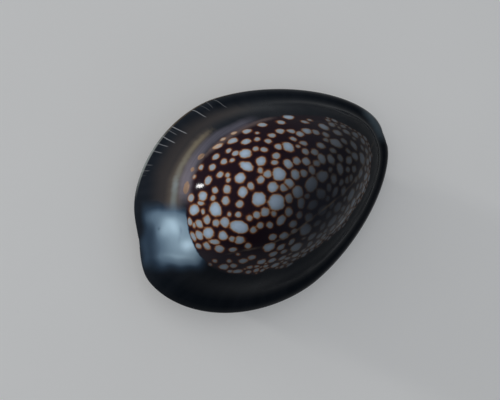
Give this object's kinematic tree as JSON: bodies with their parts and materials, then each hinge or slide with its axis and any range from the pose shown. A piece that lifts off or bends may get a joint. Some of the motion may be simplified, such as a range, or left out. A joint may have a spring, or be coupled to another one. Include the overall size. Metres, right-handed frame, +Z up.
{
  "type": "snakehead cowrie",
  "caption": "Life-size snakehead cowrie sea snail, a glossy humped shell with a flared dark margin and pale spots, resting flat on its foot with the mantle drawn in.",
  "frame": {"origin": "middle of the animal's box at the level of its sole", "axes": "+X to the animal's front, +Y to its left, +Z up through the hump"},
  "size_m": [0.0298, 0.0214, 0.0155],
  "materials": {
    "enamel": "glossy dark brown shell enamel with bluish white spots on the hump",
    "foot_skin": "moist grey-brown mottled flesh",
    "mantle_skin": "moist dark grey-brown flesh",
    "head_skin": "moist brown flesh",
    "eye_black": "wet black"
  },
  "bodies": {
    "root": {"shell": "enamel", "foot": "foot_skin", "mantle_left": "mantle_skin", "mantle_right": "mantle_skin", "siphon": "mantle_skin", "head": "head_skin", "tentacle_left": "head_skin", "tentacle_right": "head_skin", "eye_left": "eye_black", "eye_right": "eye_black"}
  },
  "joints": []
}
